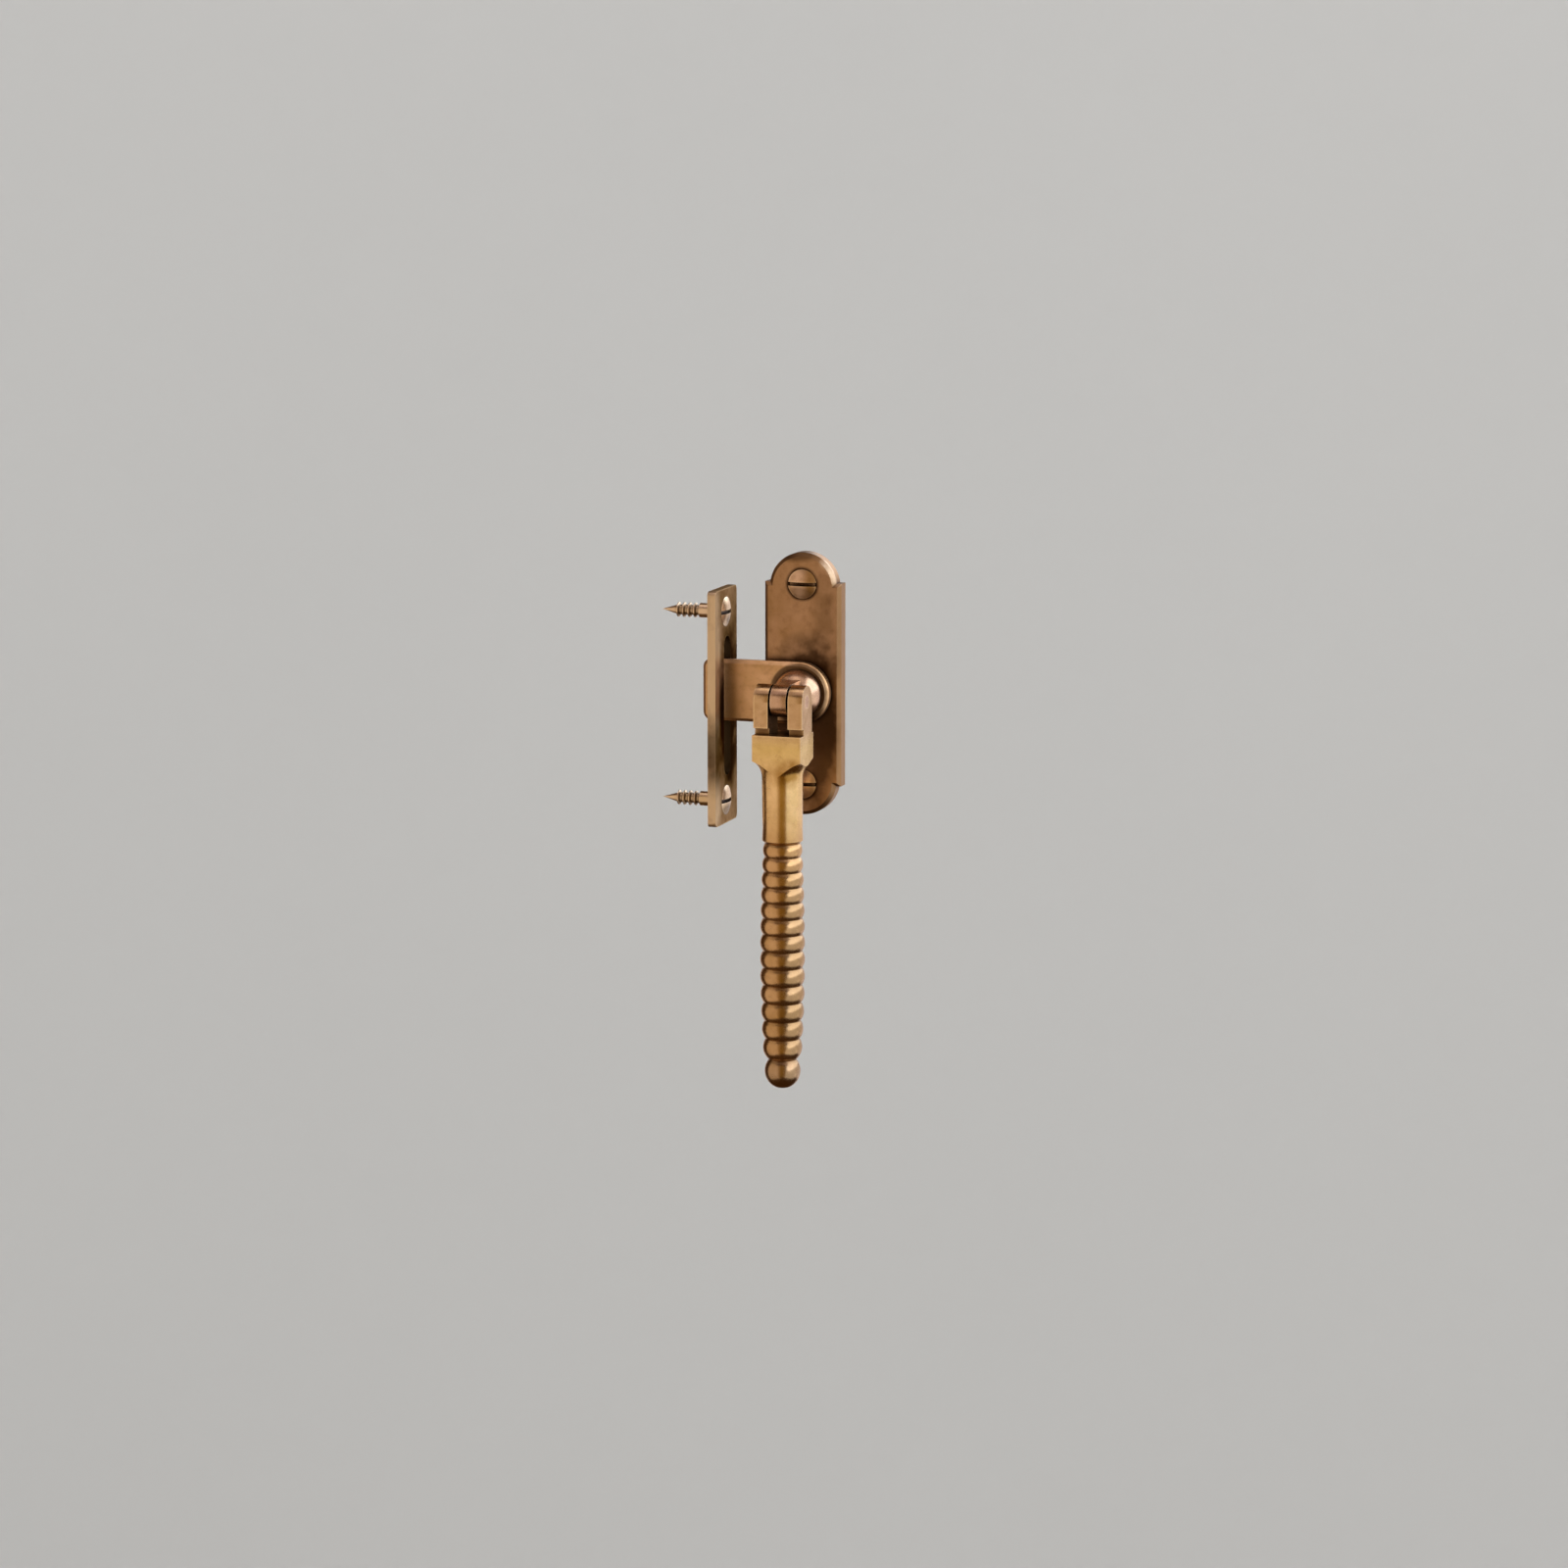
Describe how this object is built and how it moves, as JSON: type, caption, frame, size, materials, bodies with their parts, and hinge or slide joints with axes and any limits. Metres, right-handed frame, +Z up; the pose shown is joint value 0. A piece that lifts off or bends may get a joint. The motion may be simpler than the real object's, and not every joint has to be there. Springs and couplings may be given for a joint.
{
  "type": "casement window fastener",
  "caption": "Brass casement window fastener: a reeded handle on a hinged fork turns a flat latch arm into a slotted mortice keep plate.",
  "frame": {"origin": "in the middle of the backplate's back face, between its two screws", "axes": "+X to the right, away from the keep plate; +Y into the sash, along the spindle's axis; +Z up"},
  "size_m": [0.0432, 0.0393, 0.1261],
  "materials": {
    "plate_brass": "aged, satin",
    "arm_brass": "aged, satin",
    "handle_brass": "aged, rubbed bright",
    "screw_brass": "aged, satin",
    "spring_steel": "plain"
  },
  "bodies": {
    "fixed_plates": {"backplate": "plate_brass", "backplate_screws": "screw_brass", "keep_plate": "plate_brass", "keep_screws": "screw_brass"},
    "spindle_and_arm": {"spindle": "handle_brass", "latch_arm": "arm_brass", "thrust_washer": "spring_steel", "spring_washer": "spring_steel", "cover_washer": "spring_steel", "retaining_clip": "spring_steel"},
    "handle_and_pin": {"handle": "handle_brass", "pivot_pin": "handle_brass"}
  },
  "joints": [
    {"name": "latch_turn", "type": "hinge", "parent": "fixed_plates", "child": "spindle_and_arm", "pos_m": [0, 0, -0.0018], "axis": [0, -1, 0], "range_deg": [0, 90]},
    {"name": "handle_lift", "type": "hinge", "parent": "spindle_and_arm", "child": "handle_and_pin", "pos_m": [0, -0.019, -0.0018], "axis": [-1, 0, 0], "range_deg": [-8, 165]}
  ]
}
